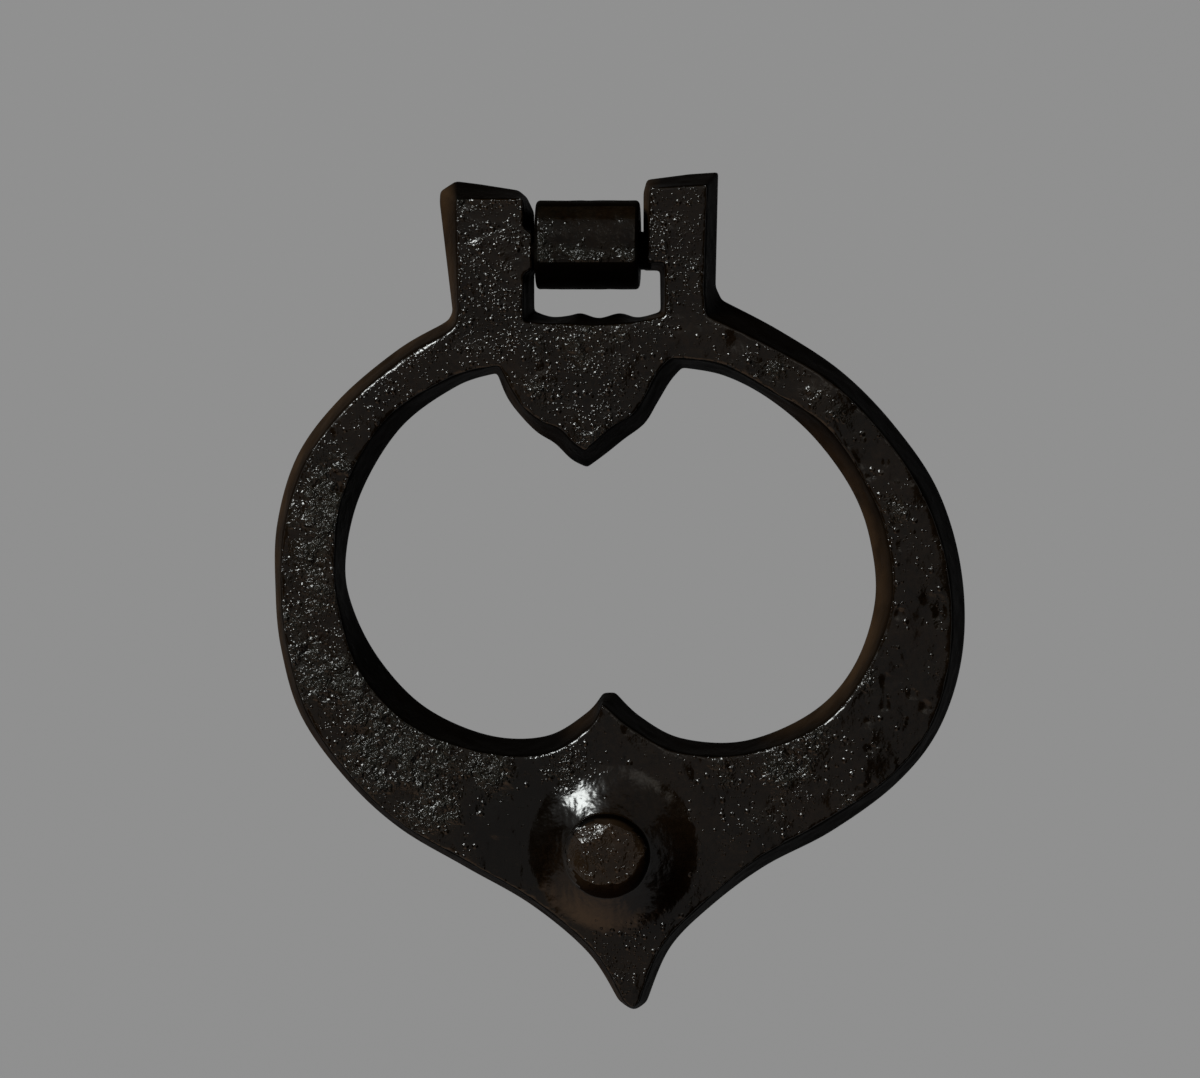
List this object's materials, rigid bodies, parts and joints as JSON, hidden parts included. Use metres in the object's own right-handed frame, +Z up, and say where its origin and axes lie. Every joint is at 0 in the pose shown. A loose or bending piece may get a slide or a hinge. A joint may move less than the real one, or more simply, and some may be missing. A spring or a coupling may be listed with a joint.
{
  "type": "ring pull door handle",
  "caption": "Ring pull for a door: a flat cast ring with a heart-shaped hand hole and a hammered knob, hung by its ears on a bar that swings in a rolled eye with a round shank.",
  "frame": {"origin": "on the shank's axis, in the plane of the collar's back face, which is the plane of the door's face", "axes": "+Y runs along the shank into the door, +Z is up along the hanging ring, +X is to the right as seen from in front of the door"},
  "size_m": [0.1131, 0.0713, 0.1371],
  "materials": {
    "cast_iron_black": "glossy black lacquer over a pitted cast surface",
    "strap_iron_black": "glossy black lacquer over smooth rolled strap, brown where it has worn"
  },
  "bodies": {
    "eye": {"rolled_eye": "strap_iron_black"},
    "ring": {"ring_pull": "cast_iron_black"}
  },
  "joints": [
    {"name": "ring_swing", "type": "hinge", "parent": "eye", "child": "ring", "pos_m": [0, -0.015, -0.00095], "axis": [-1, 0, 0], "range_deg": [-5, 180]}
  ]
}
